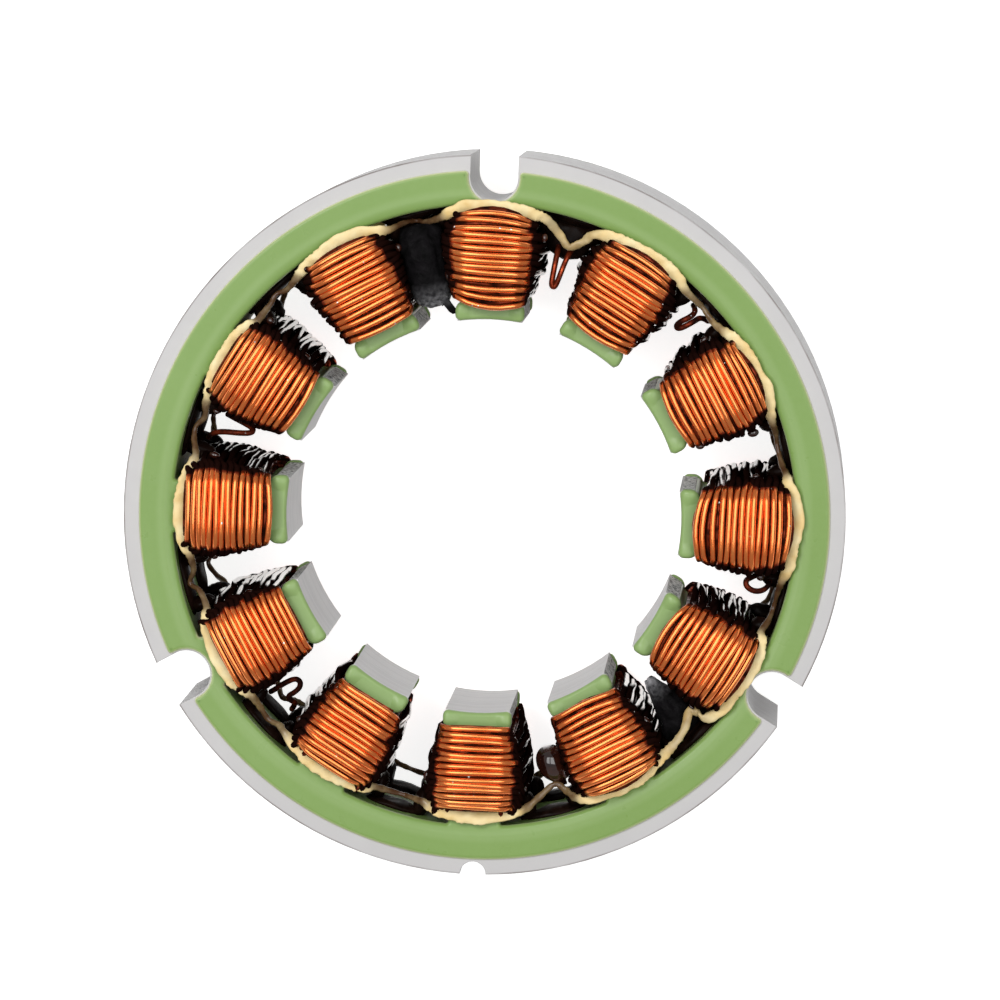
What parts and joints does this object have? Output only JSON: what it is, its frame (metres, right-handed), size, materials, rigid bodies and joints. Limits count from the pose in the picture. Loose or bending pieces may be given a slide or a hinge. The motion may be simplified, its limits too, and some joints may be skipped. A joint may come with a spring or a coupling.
{
  "type": "frameless motor stator",
  "caption": "Wound stator ring of a frameless inrunner motor: coated lamination stack with inward teeth, copper coils on every tooth, laced crowns and rim locating notches.",
  "frame": {"origin": "on the motor axis, at the plane that the lower coil crowns rest on", "axes": "+Z along the motor axis, out of the coated face that the picture shows; +Y from the axis to the tooth that carries the notch opposite the index groove"},
  "size_m": [0.05, 0.0499, 0.0179],
  "materials": {
    "lamination_steel": "bare ground sheet edges, satin",
    "epoxy_coat": "smooth green powder coat",
    "enamelled_copper": "amber enamel over copper wire, glossy",
    "lacing_cord": "twisted flat cord stiffened with varnish",
    "black_sleeve": "shrunk black sleeving",
    "varnish": "set dark red-brown varnish"
  },
  "bodies": {
    "root": {"lamination_stack": "lamination_steel", "epoxy_coat": "epoxy_coat", "coil_01": "enamelled_copper", "coil_02": "enamelled_copper", "coil_03": "enamelled_copper", "coil_04": "enamelled_copper", "coil_05": "enamelled_copper", "coil_06": "enamelled_copper", "coil_07": "enamelled_copper", "coil_08": "enamelled_copper", "coil_09": "enamelled_copper", "coil_10": "enamelled_copper", "coil_11": "enamelled_copper", "coil_12": "enamelled_copper", "front_lacing": "lacing_cord", "rear_lacing": "lacing_cord", "jumper_12_01": "enamelled_copper", "jumper_01_02": "enamelled_copper", "jumper_03_04": "enamelled_copper", "jumper_07_08": "enamelled_copper", "jumper_09_10": "enamelled_copper", "joint_sleeve_11_12": "black_sleeve", "joint_sleeve_04_05": "black_sleeve", "varnish_bead_05_06": "varnish"}
  },
  "joints": []
}
